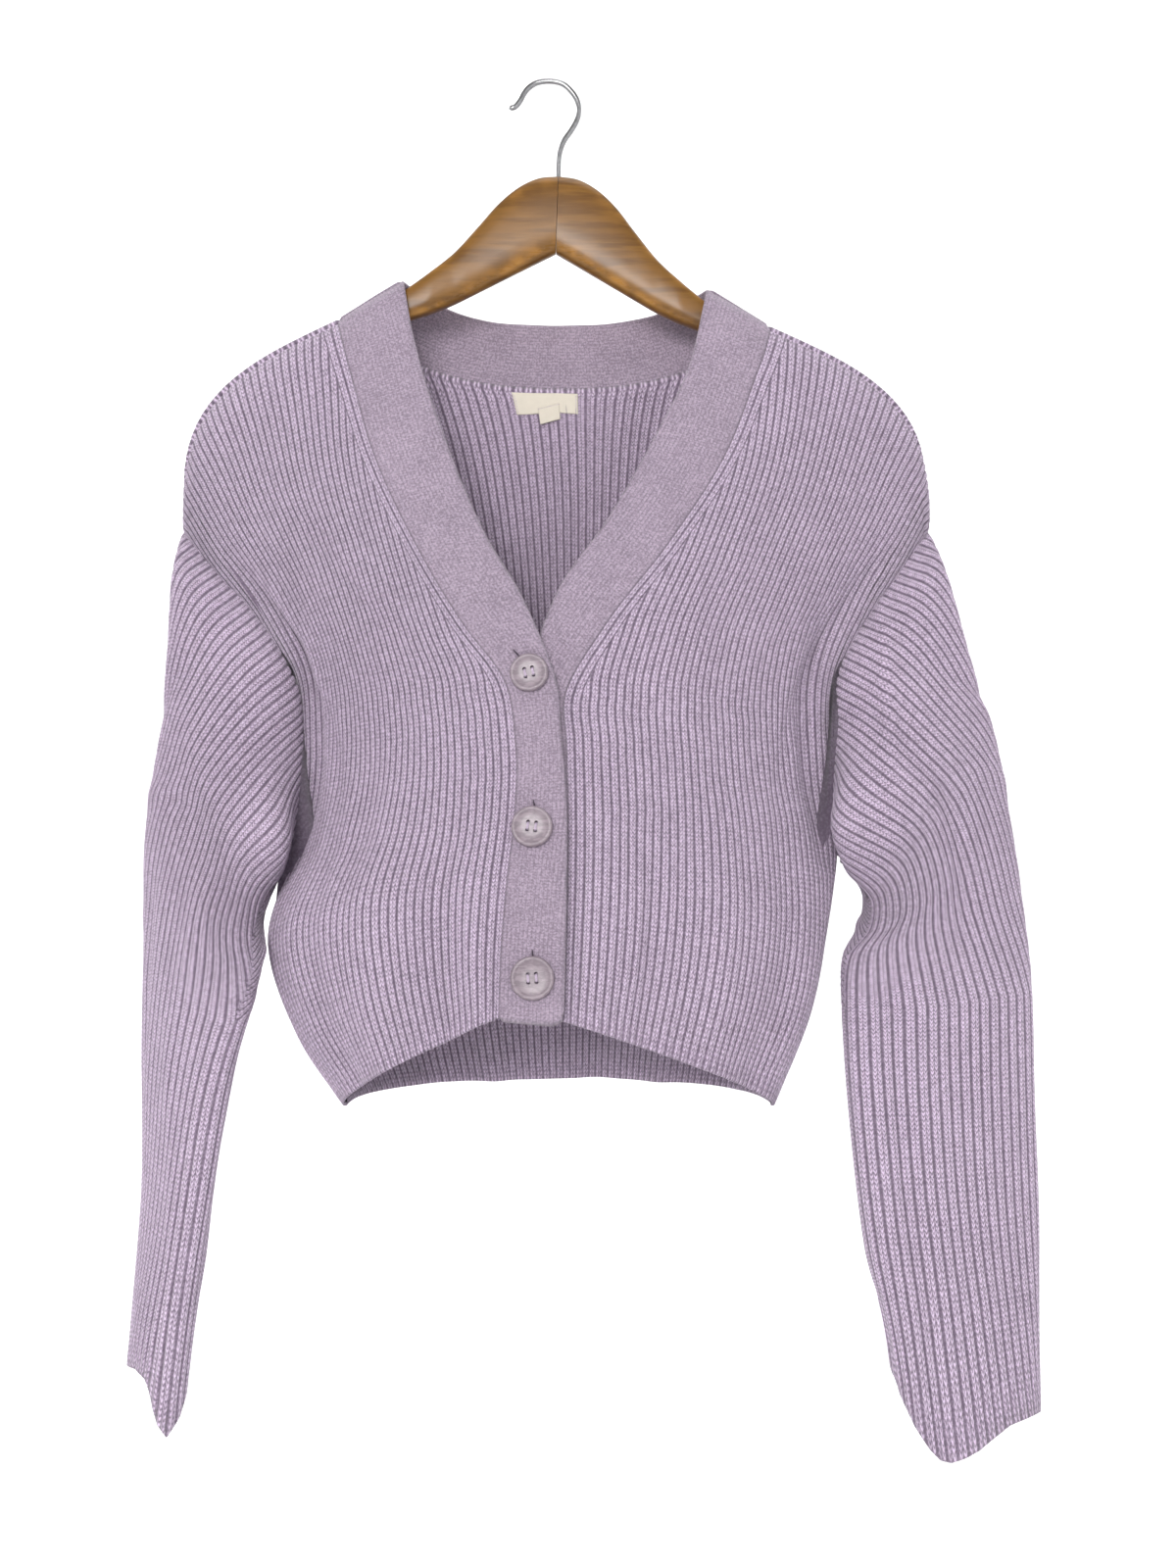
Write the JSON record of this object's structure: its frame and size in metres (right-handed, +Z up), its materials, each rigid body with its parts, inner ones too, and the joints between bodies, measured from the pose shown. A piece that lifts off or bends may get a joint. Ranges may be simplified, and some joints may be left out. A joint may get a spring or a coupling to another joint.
{
  "type": "cropped cardigan on a wooden clothes hanger",
  "caption": "Short V-neck rib-knit cardigan with long full sleeves and a buttoned front band, hung on a wooden hanger with a wire hook.",
  "frame": {"origin": "inner top of the hanger's hook, where a rail holds it", "axes": "+Z up, front of the garment faces -Y, picture right is +X"},
  "size_m": [0.5633, 0.165, 0.8607],
  "materials": {
    "rib_knit": "soft lavender rib knit",
    "band_knit": "soft fine knit, heathered",
    "woven_label": "cream woven tape",
    "button": "mauve-grey, marbled",
    "hanger_wood": "brown lacquer",
    "hook_wire": "chromed"
  },
  "bodies": {
    "root": {"back_panel": "rib_knit", "front_left": "rib_knit", "front_right": "rib_knit", "sleeve_left": "rib_knit", "sleeve_right": "rib_knit", "band_left": "band_knit", "band_right": "band_knit", "band_back": "band_knit", "neck_label": "woven_label", "size_tab": "woven_label", "button_top": "button", "button_middle": "button", "button_bottom": "button", "hanger_arm_left": "hanger_wood", "hanger_arm_right": "hanger_wood", "hanger_hook": "hook_wire"}
  },
  "joints": []
}
